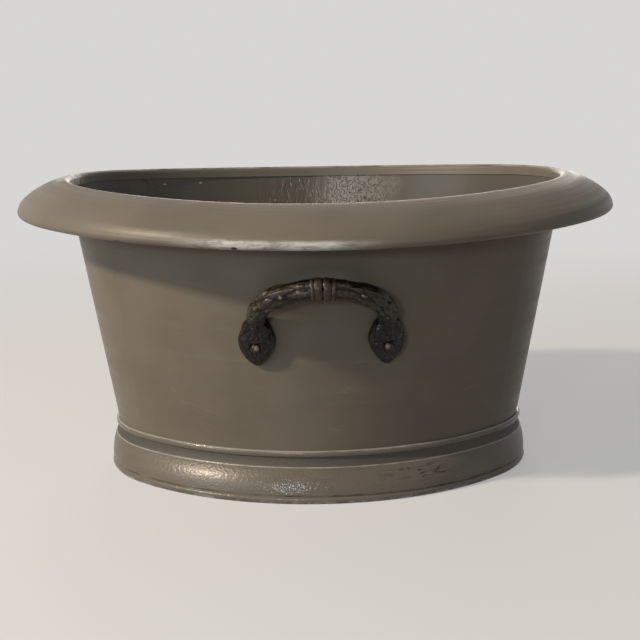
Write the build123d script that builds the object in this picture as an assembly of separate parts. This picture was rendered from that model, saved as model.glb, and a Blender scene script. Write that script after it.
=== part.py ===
from build123d import *
from math import asin, cos, degrees, radians, sin, sqrt, tan
import os

# Oval cachepot of painted tinplate, after a roll-top tub: two flaring half walls, a wide rolled rim,
# a swaged foot moulding, a flanged floor and two cast carrying handles riveted to the long sides.
# Millimetres and degrees. X runs along the length, Y across it, Z up. The origin is the middle of
# the ground plane. A section is drawn as (offset, height), where offset is measured square to the
# outline of the foot, outwards, so that every ring round the pot shares one four-centre oval.

# Plan
foot_length = 300.0
foot_width = 222.0
end_turn = 45.0              # an end arc turns this far each side of the long axis

# Wall
crest_height = 199.0         # top of the rim at the middle of the long sides
sheer = 6.5                  # how much higher the rim stands at the two ends
wall_flare = 9.7             # slope of the wall from upright
wall_inset = 11.7            # wall inside the foot's outline, if it ran down to the ground
wall_sheet = 0.9
wall_bottom = 9.0
lap_width = 7.0              # each side of an end seam

# Floor
floor_top = 20.0
floor_sheet = 1.0
floor_bend = 2.6
floor_margin = 12.0          # width of the ring that carries the bend and the flange

# Rim, a sheet rolled outwards and down and closed round a wire
rim_sheet = 0.9
rim_skirt = 4.5
crest_radius = 3.4
back_radius = 58.0
shoulder_radius = 14.0
curl_radius = 3.0
back_slope = 10.0            # slope of the roll where it leaves the crest
shoulder_slope = 40.0        # slope where the shoulder starts
curl_slope = 78.0            # slope where the curl starts
curl_turn = 235.0
rim_wire_radius = 2.0
station_step = 7.5           # turn between the sections that the rim is lofted through

# Foot moulding
foot_sheet = 0.9
foot_height = 35.0
bead_reach = 1.5             # bead beyond the wall at its middle height
bead_bottom = 30.2
cove_inset = 5.3
cove_share = 0.25            # of the step out to the lip, made by half height
lip_height = 24.0
lip_inset = 3.5
belly_inset = 1.1
groove_height = 6.3
groove_inset = 0.5
roll_radius = 2.8
roll_flat = 2.4              # width of the flat that the roll stands on
roll_start = 62.0
roll_turn = 255.0
foot_wire_radius = 1.75

# Handle casting
handle_height = 110.5        # middle of the leaf terminals
arch_shoulder = 25.0
arch_crown = 56.0
arch_turn = 60.0             # turn of each of the arch's three arcs
arch_lean = 45.0             # lean of the arch from upright
neck_length = 12.0
neck_rise = 10.0             # neck's root above the middle of the leaf
neck_depth = 2.5             # neck's root out from the wall
reed_count = 6
reed_radius = 2.5
reed_circle = 3.7
core_radius = 4.4
sheath_length = 28.0
sheath_growth = 0.4          # sheath thicker than the reeds all round
ring_count = 4
ring_pitch = 2.4
ring_radius = 7.1
ring_width = 1.5
neck_share = 0.78            # size of the neck's root against the rest of the grip
collar_radius = 6.0
collar_width = 1.3
collar_count = 3
collar_pitch = 2.2
leaf_width = 23.4
leaf_above = 15.5
leaf_below = 16.5
leaf_widest = 1.0            # widest place above the leaf's middle
leaf_upper_shares = (0.77, 0.6)     # half way round the upper edge, across and up
leaf_lower_shares = (0.74, 0.48)    # half way round the lower edge, across and down
leaf_splay = 4.5             # turn of the leaves, whose tips point a little outwards
leaf_depth = 7.5
leaf_dome = 24.0
border_width = 1.3           # raised border round the leaf
border_height = 0.5
vein_count = 5
vein_spread = 15.0           # turn between the veins, which fan out from the leaf's tip
vein_width = 1.2
vein_height = 0.7
seat_radius = 3.9
seat_depth = 6.9

# Rivets and their burrs
rivet_drop = 2.5             # rivet below the middle of the leaf
rivet_radius = 2.0
rivet_head_radius = 3.3
rivet_head_height = 2.1
tail_radius = 3.0
tail_height = 1.5
burr_radius = 5.0
burr_thickness = 1.2

# Fits
solder_gap = 0.15            # between two sheets that are sweated together
burr_gap = 0.15
hole_gap = 0.1
overrun = 5.0                # how far a cutter runs past what it cuts

up = Vector(0, 0, 1)
flare = radians(wall_flare)
half_length = foot_length / 2
half_width = foot_width / 2


# Four-centre oval

turn = radians(end_turn)
arc_share = (1 - sin(turn)) / cos(turn)
end_radius = (half_width - half_length * arc_share) / (1 - arc_share)
end_centre = half_length - end_radius
side_radius = end_radius + end_centre / cos(turn)
side_centre = end_centre * tan(turn)
rear_stops = [0, end_turn, 180 - end_turn, 180]
front_stops = [180 + stop for stop in rear_stops]


def arc_at(angle):
    # Centre and radius of the oval's arc whose outward normal points along this angle
    along = cos(radians(angle))
    across = sin(radians(angle))
    if abs(across) <= sin(turn):
        return Vector(end_centre if along > 0 else -end_centre, 0, 0), end_radius
    return Vector(0, -side_centre if across > 0 else side_centre, 0), side_radius


def outward(angle):
    return Vector(cos(radians(angle)), sin(radians(angle)), 0)


def section_plane(centre, radius, angle):
    # Plane that holds a section: its x runs outwards from the foot's outline and its y runs up
    direction = outward(angle)
    return Plane(centre + direction * radius, x_dir=direction, z_dir=direction.cross(up))


def sweep_round(section, stops):
    # Carry a section round the arcs between the stops
    pieces = []
    for start, stop in zip(stops, stops[1:]):
        centre, radius = arc_at((start + stop) / 2)
        placed = section_plane(centre, radius, start) * section
        pieces.append(revolve(placed, Axis(centre, up), stop - start))
    return join(pieces)


def join(pieces):
    whole = pieces[0]
    for piece in pieces[1:]:
        whole = whole + piece
    return whole


def oval_face(offset, height):
    # Flat face inside the oval at this offset
    edges = []
    for start in (-end_turn, end_turn, 180 - end_turn, 180 + end_turn):
        size = 2 * end_turn if start in (-end_turn, 180 - end_turn) else 180 - 2 * end_turn
        centre, radius = arc_at(start + size / 2)
        edges.append(CenterArc(centre + up * height, radius + offset, start, size))
    return make_face(edges)


def sheet_section(line):
    # Section of a bent sheet between its two faces: line(inset) is a list of edges along one face
    near = line(0)
    far = line(1)
    caps = [Line(near[0] @ 0, far[0] @ 0), Line(near[-1] @ 1, far[-1] @ 1)]
    return make_face(near + far + caps)


# Wall

along_wall = Vector(sin(flare), cos(flare))
into_pot = Vector(-cos(flare), sin(flare))


def wall_face(height, depth=0):
    # Offset of the wall's outer face, or of a face this deep behind it
    return height * tan(flare) - wall_inset - depth / cos(flare)


crest_end = half_length + wall_face(crest_height) + crest_radius
sheer_radius = (crest_end**2 + sheer**2) / (2 * sheer)


def sheer_at(x):
    # Lift of the rim at this distance from the middle, an arc seen from the side
    return sheer_radius - sqrt(sheer_radius**2 - x**2)


wall_top = crest_height - crest_radius
skirt_bottom = wall_top - rim_skirt * cos(flare)


def slab_section(bottom, top, depth, thickness):
    # Section that follows the wall's slope, this deep behind its outer face
    return make_face(
        Polyline(
            (wall_face(bottom, depth), bottom),
            (wall_face(top, depth), top),
            (wall_face(top, depth + thickness), top),
            (wall_face(bottom, depth + thickness), bottom),
            close=True,
        )
    )


def below_sheer():
    # Everything below the wall's curved top edge
    reach = crest_end + overrun
    edge = wall_top + sheer_at(reach)
    outline = [
        Polyline((-reach, edge), (-reach, -overrun), (reach, -overrun), (reach, edge)),
        ThreePointArc((reach, edge), (0, wall_top), (-reach, edge)),
    ]
    return extrude(Plane.XZ * make_face(outline), half_width + crest_end, both=True)


def lap(angle):
    # Strip inside an end seam that belongs to the rear half and reaches behind the front half
    half_angle = degrees(lap_width / (end_radius + wall_face(floor_top)))
    top = skirt_bottom + sheer_at(crest_end - crest_radius) - wall_sheet
    strip = slab_section(floor_top + floor_sheet, top, wall_sheet, wall_sheet)
    return sweep_round(strip, [angle - half_angle, angle + half_angle])


def half_wall(stops, holes):
    section = slab_section(wall_bottom, wall_top + sheer + overrun, 0, wall_sheet)
    return (sweep_round(section, stops) & below_sheer()) - holes


# Floor

def floor_plate():
    # Flat plate with a rounded edge and a flange turned down inside the wall
    def line(side):
        inset = side * floor_sheet
        depth = wall_sheet + solder_gap + inset
        radius = floor_bend - inset
        start = Vector(wall_face(wall_bottom, depth), wall_bottom)
        bend_height = floor_top - floor_bend - radius * sin(flare)
        bend_start = Vector(wall_face(bend_height, depth), bend_height)
        bend = JernArc(bend_start, along_wall, radius, 90 + wall_flare)
        inner = Vector(wall_face(floor_top) - floor_margin, (bend @ 1).Y)
        return [Line(start, bend_start), bend, Line(bend @ 1, inner)]

    flange = sweep_round(sheet_section(line), rear_stops + front_stops[1:])
    plate = extrude(oval_face(wall_face(floor_top) - floor_margin, floor_top), -floor_sheet)
    return flange + plate


# Rim

def rim_line(side):
    # One face of the rim's sheet: skirt inside the wall, crest, back, shoulder and curl
    inset = side * rim_sheet
    radius = crest_radius - inset
    centre_depth = wall_sheet + solder_gap + rim_sheet - crest_radius
    centre = Vector(wall_face(wall_top, centre_depth), wall_top)
    start = centre + into_pot * radius
    skirt = Line(start - along_wall * rim_skirt, start)
    crest = JernArc(start, along_wall, radius, wall_flare - 90 - back_slope)
    back = JernArc(crest @ 1, crest % 1, back_radius - inset, back_slope - shoulder_slope)
    shoulder = JernArc(back @ 1, back % 1, shoulder_radius - inset, shoulder_slope - curl_slope)
    curl = JernArc(shoulder @ 1, shoulder % 1, curl_radius - inset, -curl_turn)
    return [skirt, crest, back, shoulder, curl]


def curl_centre():
    curl = rim_line(0)[-1]
    heading = radians(curl_slope)
    return curl @ 0 - Vector(sin(heading), cos(heading)) * curl_radius


def rim_stations(stops):
    # Turns of the sections, closer than the step where an arc asks for it
    angles = [stops[0]]
    for start, stop in zip(stops, stops[1:]):
        count = round((stop - start) / station_step)
        angles += [start + (stop - start) * number / count for number in range(1, count + 1)]
    return angles


def loft_round(section, stops):
    # Carry a section round the oval while the sheer lifts it along the slope of the wall
    placed = []
    pairs = list(zip(stops, stops[1:]))
    for angle in rim_stations(stops):
        start, stop = next(pair for pair in pairs if pair[0] <= angle <= pair[1])
        centre, radius = arc_at((start + stop) / 2)
        crest_x = (centre + outward(angle) * (radius + crest_end - half_length)).X
        lift = sheer_at(crest_x)
        moved = Pos(lift * tan(flare), lift) * section
        placed.append(section_plane(centre, radius, angle) * moved)
    return loft(placed)


# Foot moulding

roll_centre = Vector(-roll_radius, sqrt(roll_radius**2 - (roll_flat / 2) ** 2))


def foot_line(side):
    # One face of the swaged band, from the wall down to the roll that it stands on
    shift = -side * foot_sheet
    top = Vector(wall_face(foot_height) + foot_sheet + shift, foot_height)
    bead_middle = (foot_height + bead_bottom) / 2
    bead = Vector(wall_face(bead_middle) + foot_sheet + bead_reach + shift, bead_middle)
    neck = Vector(shift - cove_inset, bead_bottom)
    cove_reach = (cove_inset - lip_inset) * cove_share
    cove = Vector(shift - cove_inset + cove_reach, (bead_bottom + lip_height) / 2)
    lip = Vector(shift - lip_inset, lip_height)
    belly = Vector(shift - belly_inset, (lip_height + groove_height) / 2)
    groove = Vector(shift - groove_inset, groove_height)
    roll = CenterArc(roll_centre, roll_radius + shift, roll_start, -roll_turn)
    return [
        ThreePointArc(top, bead, neck),
        ThreePointArc(neck, cove, lip),
        ThreePointArc(lip, belly, groove),
        Line(groove, roll @ 0),
        roll,
    ]


def foot_band():
    band = sweep_round(sheet_section(foot_line), rear_stops + front_stops[1:])
    ground = extrude(oval_face(overrun, 0), -overrun)
    return band - ground


# Handles

def wall_plane(x, height, depth=0):
    # Plane on the front wall's outer face: x along the wall, y up it and z straight out of it
    radius = side_radius + wall_face(height, depth)
    angle = 270 + degrees(asin(x / radius))
    direction = outward(angle)
    origin = Vector(0, side_centre, height) + direction * radius
    return Plane(origin, x_dir=up.cross(direction), z_dir=direction * cos(flare) - up * sin(flare))


arch_half = arch_shoulder + (arch_crown - arch_shoulder) * sin(radians(arch_turn) / 2)
lean = radians(arch_lean)


def arch_plane():
    root = wall_plane(arch_half, handle_height) * Pos(0, neck_rise, neck_depth)
    origin = Vector(0, root.position.Y, root.position.Z)
    return Plane(origin, x_dir=(1, 0, 0), z_dir=(0, -cos(lean), -sin(lean)))


def reeded(growth):
    # Section of a bundle of reeds round a core
    reeds = PolarLocations(reed_circle, reed_count) * Circle(reed_radius + growth)
    return Circle(core_radius + growth) + reeds


def arch_edges():
    start = Line((-arch_half, 0), (-arch_half, neck_length))
    rise = JernArc(start @ 1, start % 1, arch_shoulder, -arch_turn)
    crown = JernArc(rise @ 1, rise % 1, arch_crown, -arch_turn)
    fall = JernArc(crown @ 1, crown % 1, arch_shoulder, -arch_turn)
    end = Line(fall @ 1, (arch_half, 0))
    return [start, rise, crown, fall, end]


def carry(section, edge):
    # Carry a section along a straight or round edge of the arch
    placed = Plane(edge @ 0, z_dir=edge % 0) * section
    if edge.geom_type == GeomType.LINE:
        return extrude(placed, edge.length)
    return revolve(placed, Axis(edge.arc_center, -up), degrees(edge.length / edge.radius))


def neck(edge, root, end):
    # Straight part of the grip that narrows to its root
    narrow = Plane(edge @ root, z_dir=edge % root) * scale(reeded(0), neck_share)
    wide = Plane(edge @ end, z_dir=edge % end) * reeded(0)
    return loft([narrow, wide])


def disc_on(edge, distance, radius, width):
    # Round disc threaded on an edge of the arch, this far from the edge's middle
    share = 1 / 2 + distance / edge.length
    place = Plane(edge @ share, z_dir=edge % share)
    return place * Cylinder(radius, width)


def grip():
    edges = arch_edges()
    arcs = [carry(reeded(0), edge) for edge in edges[1:-1]]
    rod = join([neck(edges[0], 0, 1)] + arcs + [neck(edges[-1], 1, 0)])
    crown = edges[2]
    reach = sheath_length / crown.length / 2
    sleeve = carry(reeded(sheath_growth), crown.trim(1 / 2 - reach, 1 / 2 + reach))
    rings = [
        disc_on(crown, (number - (ring_count - 1) / 2) * ring_pitch, ring_radius, ring_width)
        for number in range(ring_count)
    ]
    collars = [
        disc_on(edge, (number - (collar_count - 1) / 2) * collar_pitch, collar_radius, collar_width)
        for edge in (edges[0], edges[-1])
        for number in range(collar_count)
    ]
    return arch_plane() * join([rod, sleeve] + rings + collars)


def leaf_column(inset):
    # Straight column of the leaf's outline, or of one this far inside it
    side = leaf_width / 2 - inset
    above = leaf_above - leaf_widest - inset
    below = leaf_below + leaf_widest - inset
    upper_across, upper_rise = leaf_upper_shares
    lower_across, lower_drop = leaf_lower_shares
    right = [
        ThreePointArc(
            (0, leaf_widest + above),
            (side * upper_across, leaf_widest + above * upper_rise),
            (side, leaf_widest),
        ),
        ThreePointArc(
            (side, leaf_widest),
            (side * lower_across, leaf_widest - below * lower_drop),
            (0, leaf_widest - below),
        ),
    ]
    outline = make_face(right + [mirror(edge, Plane.YZ) for edge in right])
    return extrude(outline, leaf_depth + overrun) + extrude(outline, -overrun)


def leaf_dome_at(height):
    # Ball whose cap is the leaf's domed face, raised by this height
    return Pos(0, 0, leaf_depth + height - leaf_dome) * Sphere(leaf_dome)


def vein(number):
    # Straight slab from the leaf's tip, one of a fan about the midrib
    heading = (number - (vein_count - 1) / 2) * vein_spread
    align = (Align.CENTER, Align.MIN, Align.CENTER)
    slab = Box(vein_width, leaf_above + leaf_below, 2 * (leaf_depth + overrun), align=align)
    return Pos(0, -leaf_below, 0) * Rot(0, 0, heading) * slab


def leaf():
    # Domed leaf with a raised border and veins, and a flat seat for the rivet's head
    whole = leaf_column(0)
    field = leaf_column(border_width)
    border = (whole - field) & leaf_dome_at(border_height)
    veins = join([vein(number) for number in range(vein_count)]) & field & leaf_dome_at(vein_height)
    seat = Pos(0, -rivet_drop, seat_depth) * standing(seat_radius, overrun)
    return (whole & leaf_dome_at(0)) + border + veins - seat


def dome(radius, height):
    # Low dome that stands on the plane
    ball = (radius**2 + height**2) / (2 * height)
    cap = Pos(0, 0, height - ball) * Sphere(ball)
    return cap & standing(radius, height)


def standing(radius, height):
    return Cylinder(radius, height, align=(Align.CENTER, Align.CENTER, Align.MIN))


def rivet_plane(x):
    return wall_plane(x, handle_height) * Pos(0, -rivet_drop, 0)


def shank_hole(x):
    # Hole for a rivet's shank, from well inside the pot to clear of the leaf
    length = leaf_depth + 2 * overrun
    return rivet_plane(x) * Pos(0, 0, -overrun) * standing(rivet_radius + hole_gap, length)


def rivet():
    tail_seat = wall_sheet + burr_gap + burr_thickness
    body = Pos(0, 0, -tail_seat) * standing(rivet_radius, tail_seat + seat_depth)
    head = Pos(0, 0, seat_depth) * dome(rivet_head_radius, rivet_head_height)
    tail = Pos(0, 0, -tail_seat) * Rot(180, 0, 0) * dome(tail_radius, tail_height)
    return body + head + tail


def burr():
    ring = standing(burr_radius, burr_thickness) - standing(rivet_radius + hole_gap, burr_thickness)
    return Pos(0, 0, -wall_sheet - burr_gap - burr_thickness) * ring


def splayed_leaf(x):
    # Leaf turned about its rivet, tip outwards
    turned = Rot(0, 0, leaf_splay if x > 0 else -leaf_splay)
    return rivet_plane(x) * turned * Pos(0, rivet_drop, 0) * leaf()


def handle(holes):
    # Casting trimmed to the wall's outer face, so that the leaves seat on it all over
    leaves = [splayed_leaf(x) for x in (-arch_half, arch_half)]
    backing = slab_section(wall_bottom, crest_height, 0, 2 * overrun)
    behind = sweep_round(backing, front_stops[1:3])
    return join([grip()] + leaves) - behind - holes


def build():
    turned = Rot(0, 0, 180)
    sides = {"left": -arch_half, "right": arch_half}
    holes = join([shank_hole(x) for x in sides.values()])
    casting = handle(holes)
    nodes = {
        "wall_front": half_wall(front_stops, holes),
        "wall_rear": half_wall(rear_stops, turned * holes) + lap(0) + lap(180),
        "base_plate": floor_plate(),
        "foot_moulding": foot_band(),
        "foot_wire": sweep_round(
            Pos(roll_centre) * Circle(foot_wire_radius), rear_stops + front_stops[1:]
        ),
        "handle_front": casting,
        "handle_rear": turned * casting,
    }
    for name, stops in (("front", front_stops), ("rear", rear_stops)):
        nodes[f"rim_{name}"] = loft_round(sheet_section(rim_line), stops)
        wire = Pos(curl_centre()) * Circle(rim_wire_radius)
        nodes[f"rim_wire_{name}"] = loft_round(wire, stops)
    for side, x in sides.items():
        nodes[f"rivet_front_{side}"] = rivet_plane(x) * rivet()
        nodes[f"burr_front_{side}"] = rivet_plane(x) * burr()
        nodes[f"rivet_rear_{side}"] = turned * rivet_plane(-x) * rivet()
        nodes[f"burr_rear_{side}"] = turned * rivet_plane(-x) * burr()
    return nodes


os.makedirs("parts", exist_ok=True)
for node_name, shape in build().items():
    export_step(shape, f"parts/{node_name}.step")
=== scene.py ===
import math

import bmesh
import bpy
import numpy as np
from mathutils import Matrix, Vector


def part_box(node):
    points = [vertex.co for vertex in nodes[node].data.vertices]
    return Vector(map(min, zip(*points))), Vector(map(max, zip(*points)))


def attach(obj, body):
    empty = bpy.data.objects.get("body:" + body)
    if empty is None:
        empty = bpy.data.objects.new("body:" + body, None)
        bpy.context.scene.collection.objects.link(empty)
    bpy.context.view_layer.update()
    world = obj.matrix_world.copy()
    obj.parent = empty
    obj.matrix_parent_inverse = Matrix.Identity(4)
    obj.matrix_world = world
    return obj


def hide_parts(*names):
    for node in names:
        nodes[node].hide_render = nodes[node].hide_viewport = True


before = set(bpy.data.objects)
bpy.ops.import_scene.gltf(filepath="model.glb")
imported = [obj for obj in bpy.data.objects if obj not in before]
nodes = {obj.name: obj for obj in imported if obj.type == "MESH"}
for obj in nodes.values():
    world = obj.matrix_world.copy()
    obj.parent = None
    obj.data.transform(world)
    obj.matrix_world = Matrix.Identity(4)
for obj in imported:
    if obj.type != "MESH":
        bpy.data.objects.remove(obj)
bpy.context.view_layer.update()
print("frame loaded, nodes:", len(nodes))

mm = 0.001


# View

cameraLook = {
    "framePixels": 640,
    "focalPixels": 1256.45,
    "sensorWidth": 36.0,
    "clip": (0.01, 50.0),
    "place": (-0.02055, -0.88597, 0.28415),
    "heading": -1.453,            # degrees about Z, from looking along +Y
    "lookDown": 11.754,
    "roll": -0.714,
}


def makeCamera():
    look = cameraLook
    data = bpy.data.cameras.new("viewCamera")
    data.sensor_width = look["sensorWidth"]
    data.lens = look["focalPixels"] * look["sensorWidth"] / look["framePixels"]
    data.clip_start, data.clip_end = look["clip"]
    camera = bpy.data.objects.new("viewCamera", data)
    bpy.context.scene.collection.objects.link(camera)
    turn = Matrix.Rotation(math.radians(look["heading"]), 4, "Z")
    tilt = Matrix.Rotation(math.radians(90.0 - look["lookDown"]), 4, "X")
    roll = Matrix.Rotation(math.radians(look["roll"]), 4, "Z")
    camera.matrix_world = Matrix.Translation(look["place"]) @ turn @ tilt @ roll
    bpy.context.scene.camera = camera


# Materials

class Graph:
    # a material's node tree with short ways to add and join nodes

    def __init__(self, name):
        self.material = bpy.data.materials.new(name)
        self.material.use_nodes = True
        self.tree = self.material.node_tree
        self.shader = self.tree.nodes["Principled BSDF"]
        self.place = self.add("ShaderNodeTexCoord").outputs["Object"]
        parts = self.add("ShaderNodeSeparateXYZ", {"Vector": self.place})
        self.x, self.y, self.z = parts.outputs

    def add(self, kind, inputs=None, **settings):
        made = self.tree.nodes.new(kind)
        for key, value in settings.items():
            setattr(made, key, value)
        for key, value in (inputs or {}).items():
            if isinstance(value, bpy.types.NodeSocket):
                self.tree.links.new(value, made.inputs[key])
            else:
                made.inputs[key].default_value = value
        return made

    def maths(self, operation, first, second=0.0, third=0.0):
        given = {0: first, 1: second, 2: third}
        return self.add("ShaderNodeMath", given, operation=operation).outputs[0]

    def product(self, *values):
        total = values[0]
        for value in values[1:]:
            total = self.maths("MULTIPLY", total, value)
        return total

    def ramp(self, value, low, high, start=0.0, end=1.0):
        # smooth step from start to end while the value goes from low to high
        given = {"Value": value, "From Min": low, "From Max": high, "To Min": start, "To Max": end}
        made = self.add("ShaderNodeMapRange", given, interpolation_type="SMOOTHSTEP")
        return made.outputs["Result"]

    def between(self, value, low, high, fade):
        # 1 between the two limits
        return self.product(self.ramp(value, low - fade, low), self.ramp(value, high + fade, high))

    def vector(self, x, y, z):
        return self.add("ShaderNodeCombineXYZ", {"X": x, "Y": y, "Z": z}).outputs[0]

    def steps(self, operation, first, second=(0.0, 0.0, 0.0)):
        # the same step on all three parts of a vector
        given = {0: first, 1: second}
        return self.add("ShaderNodeVectorMath", given, operation=operation).outputs[0]

    def length(self, vector):
        return self.add("ShaderNodeVectorMath", {0: vector}, operation="LENGTH").outputs["Value"]

    def stretch(self, scale, vector=None):
        return self.steps("MULTIPLY", vector or self.place, scale)

    def inverse(self, share):
        return self.maths("SUBTRACT", 1.0, share)

    def noise(self, vector, scale, detail=3.0, roughness=0.55, distortion=0.0):
        given = {"Vector": vector, "Scale": scale, "Detail": detail}
        given.update({"Roughness": roughness, "Distortion": distortion})
        return self.add("ShaderNodeTexNoise", given).outputs["Fac"]

    def ridges(self, vector, scale, width, distortion=0.0):
        # thin winding lines, where the noise crosses its middle
        field = self.noise(vector, scale, 1.5, 0.5, distortion)
        off = self.maths("ABSOLUTE", self.maths("SUBTRACT", field, 0.5))
        return self.ramp(off, width, 0.0)

    def mix(self, share, first, second):
        given = {"Factor": share, 6: first, 7: second}
        return self.add("ShaderNodeMix", given, data_type="RGBA").outputs[2]

    def blend(self, share, first, second):
        given = {0: share, 2: first, 3: second}
        return self.add("ShaderNodeMix", given, data_type="FLOAT").outputs[0]

    def patch(self, place, reach, rough=0.0, grain=60.0):
        # 1 at the place and 0 at this reach along each axis, with a ragged edge
        away = self.steps("DIVIDE", self.steps("SUBTRACT", self.place, place), reach)
        distance = self.length(away)
        if rough:
            ragged = self.maths("SUBTRACT", self.noise(self.place, grain, 4.0, 0.6), 0.5)
            distance = self.maths("MULTIPLY_ADD", ragged, rough, distance)
        return self.ramp(distance, 1.0, 0.45)

    def patches(self, places, reach, rough=0.0, grain=60.0):
        return self.most([self.patch(place, reach, rough, grain) for place in places])

    def grain(self, scale, low, high, detail=3.0, roughness=0.55):
        # noise of this scale, raised from 0 to 1 between two of its levels
        return self.ramp(self.noise(self.place, scale, detail, roughness), low, high)

    def most(self, values):
        top = values[0]
        for value in values[1:]:
            top = self.maths("MAXIMUM", top, value)
        return top

    def bump(self, height, distance, strength=1.0, under=None):
        given = {"Height": height, "Distance": distance, "Strength": strength}
        if under is not None:
            given["Normal"] = under
        return self.add("ShaderNodeBump", given).outputs["Normal"]

    def finish(self, tone, roughness, normal, **settings):
        for name, value in (("Base Color", tone), ("Roughness", roughness), ("Normal", normal)):
            self.tree.links.new(value, self.shader.inputs[name])
        for name, value in settings.items():
            self.shader.inputs[name.replace("_", " ")].default_value = value
        return self.material


# Studio

studio = {
    "floorRadius": 6.0,
    "floorSides": 96,
    "floorTone": (0.78, 0.775, 0.765, 1.0),
    "floorBounce": (0.26, 0.24, 0.22, 1.0),     # what the floor throws back onto the pot
    "floorRoughness": 0.8,
    "backTone": (0.68, 0.675, 0.665, 1.0),
    "floorGlow": 0.50,            # share of the backdrop's tone in the floor by the pot
    "fadeStart": 0.40,            # the floor turns into the backdrop between these distances
    "fadeEnd": 1.30,
    "aim": (0.0, 0.0, 0.10),
    "ambient": (0.80, 0.86, 0.94, 1.0),
    "ambientStrength": 0.11,
    # name, direction from the pot, distance, width, height, power, colour
    "lamps": (
        ("keyLamp", (-0.757, -0.402, 0.60), 2.60, 0.18, 0.18, 65.0, (1.0, 0.83, 0.66)),
        ("windowLamp", (-0.80, -0.60, 0.24), 1.6, 0.80, 0.60, 4.6, (0.82, 0.93, 1.0)),
        ("frontLamp", (-0.25, -0.95, 0.27), 1.3, 0.16, 0.12, 2.9, (0.80, 0.92, 1.0)),
        ("fillLamp", (0.90, -0.40, 0.20), 2.4, 1.4, 1.0, 1.7, (1.0, 0.74, 0.50)),
        ("rearLamp", (0.10, 0.97, 0.20), 2.1, 1.2, 0.9, 13.0, (1.0, 0.92, 0.82)),
        ("topLamp", (-0.10, 0.25, 0.95), 2.0, 1.4, 1.4, 0.8, (1.0, 0.96, 0.90)),
    ),
}


def seenShare(tree):
    # 1 for rays that see the backdrop: from the camera, in gloss and through glass
    rays = tree.nodes.new("ShaderNodeLightPath")
    share = rays.outputs["Is Camera Ray"]
    for name in ("Is Glossy Ray", "Is Transmission Ray"):
        larger = tree.nodes.new("ShaderNodeMath")
        larger.operation = "MAXIMUM"
        tree.links.new(share, larger.inputs[0])
        tree.links.new(rays.outputs[name], larger.inputs[1])
        share = larger.outputs[0]
    return share


def deselect():
    bpy.ops.object.select_all(action="DESELECT")


def makeFloor():
    look = studio
    deselect()
    bpy.ops.mesh.primitive_circle_add(
        vertices=look["floorSides"], radius=look["floorRadius"], fill_type="NGON"
    )
    floor = bpy.context.object
    floor.name = "floor"
    graph = Graph("paleFloor")
    seen = seenShare(graph.tree)
    tone = graph.mix(seen, look["floorBounce"], look["floorTone"])
    graph.tree.links.new(tone, graph.shader.inputs["Base Color"])
    graph.shader.inputs["Roughness"].default_value = look["floorRoughness"]
    away = graph.length(graph.place)
    fade = graph.ramp(away, look["fadeStart"], look["fadeEnd"], look["floorGlow"])
    glow = graph.add("ShaderNodeEmission", {"Color": look["backTone"]}).outputs[0]
    given = {0: graph.product(fade, seen), 1: graph.shader.outputs["BSDF"], 2: glow}
    surface = graph.add("ShaderNodeMixShader", given).outputs[0]
    graph.tree.links.new(surface, graph.tree.nodes["Material Output"].inputs["Surface"])
    floor.data.materials.append(graph.material)


def makeWorld():
    world = bpy.data.worlds.new("studioWorld")
    bpy.context.scene.world = world
    world.use_nodes = True
    tree = world.node_tree
    ambient = tree.nodes["Background"]
    ambient.inputs["Color"].default_value = studio["ambient"]
    ambient.inputs["Strength"].default_value = studio["ambientStrength"]
    back = tree.nodes.new("ShaderNodeBackground")
    back.inputs["Color"].default_value = studio["backTone"]
    mix = tree.nodes.new("ShaderNodeMixShader")
    tree.links.new(seenShare(tree), mix.inputs["Fac"])
    tree.links.new(ambient.outputs["Background"], mix.inputs[1])
    tree.links.new(back.outputs["Background"], mix.inputs[2])
    tree.links.new(mix.outputs["Shader"], tree.nodes["World Output"].inputs["Surface"])


def makeLamps():
    aim = Vector(studio["aim"])
    for name, direction, distance, width, height, power, colour in studio["lamps"]:
        data = bpy.data.lights.new(name, "AREA")
        data.shape = "RECTANGLE"
        data.size = width
        data.size_y = height
        data.energy = power
        data.color = colour
        lamp = bpy.data.objects.new(name, data)
        bpy.context.scene.collection.objects.link(lamp)
        away = Vector(direction).normalized()
        turned = away.to_track_quat("Z", "Y").to_matrix().to_4x4()
        lamp.matrix_world = Matrix.Translation(aim + away * distance) @ turned


makeCamera()
makeFloor()
makeWorld()
makeLamps()
bpy.context.scene.view_settings.view_transform = "Standard"
print("camera and studio ready")


def dress(material, *names):
    for name in names:
        mesh = nodes[name].data
        mesh.materials.clear()
        mesh.materials.append(material)


# The pot's four-centre oval, as in the CAD model

oval = {
    "halfLength": 150.0 * mm,
    "halfWidth": 111.0 * mm,
    "flare": math.radians(9.7),
    "wallInset": 11.7 * mm,
    "sheer": 6.5 * mm,
    "crestEnd": 175.7 * mm,
    "crestOffset": 23.2 * mm,     # middle of the rim's crest, outside the foot's outline
}
arcShare = math.sqrt(2.0) - 1.0
endRadius = (oval["halfWidth"] - oval["halfLength"] * arcShare) / (1.0 - arcShare)
endCentre = oval["halfLength"] - endRadius
sideRadius = endRadius + endCentre * math.sqrt(2.0)


def offsetOf(graph):
    # how far a point lies outside the foot's outline
    along = graph.maths("ABSOLUTE", graph.x)
    across = graph.maths("ABSOLUTE", graph.y)
    reach = graph.maths("SUBTRACT", along, endCentre)
    deep = graph.maths("ADD", across, endCentre)
    side = graph.maths("SUBTRACT", graph.length(graph.vector(along, deep, 0.0)), sideRadius)
    end = graph.maths("SUBTRACT", graph.length(graph.vector(reach, across, 0.0)), endRadius)
    onSide = graph.maths("LESS_THAN", reach, across)
    return graph.blend(onSide, end, side)


def liftOf(graph):
    # how far the sheer lifts the rim here
    return graph.product(graph.x, graph.x, oval["sheer"] / oval["crestEnd"] ** 2)


# Paint, brushed on by hand along the length

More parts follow.
